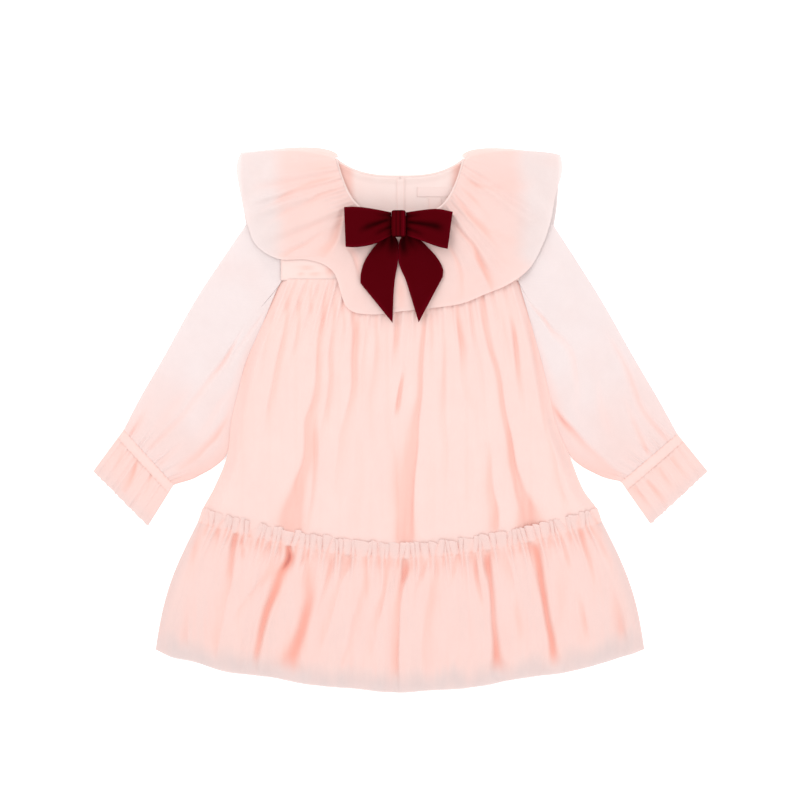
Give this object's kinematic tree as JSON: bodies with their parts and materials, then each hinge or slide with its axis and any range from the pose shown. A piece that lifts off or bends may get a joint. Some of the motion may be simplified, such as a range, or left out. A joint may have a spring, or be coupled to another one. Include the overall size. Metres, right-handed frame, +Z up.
{
  "type": "toddler party dress",
  "caption": "Long-sleeved toddler party dress of sheer net over a lining, with a wide gathered collar, a velvet bow at the neck and a gathered hem tier, laid flat.",
  "frame": {"origin": "on the resting underside of the back of the body, on the dress's centre line, 130 mm above the middle of the seam between body and hem tier", "axes": "+Z up from the surface that the dress lies on, +Y towards the neck, +X towards the sleeve on the right of the picture"},
  "size_m": [0.5696, 0.5116, 0.0275],
  "materials": {
    "net": "sheer pale pink net, gathered",
    "lined_net": "pale pink net on plain cloth",
    "lining": "plain pale pink woven lining",
    "label": "smooth pale woven tape, bare",
    "velvet": "deep burgundy velvet ribbon"
  },
  "bodies": {
    "root": {"collar_back_left": "net", "collar_back_right": "net", "yoke_back_left": "lined_net", "yoke_back_right": "lined_net", "body_back": "net", "tier_back": "net", "lining_back": "lining", "lining_front": "lining", "yoke_front": "lined_net", "body_front": "net", "tier_front": "net", "sleeve_left": "net", "sleeve_right": "net", "cuff_band_left": "lined_net", "cuff_band_right": "lined_net", "cuff_frill_left": "net", "cuff_frill_right": "net", "collar_front": "net", "neck_binding_front": "lined_net", "neck_binding_back": "lined_net", "back_placket": "lined_net", "label_main": "label", "label_size": "label", "bow_loop_left": "velvet", "bow_loop_right": "velvet", "bow_tail_left": "velvet", "bow_tail_right": "velvet", "bow_knot": "velvet"}
  },
  "joints": []
}
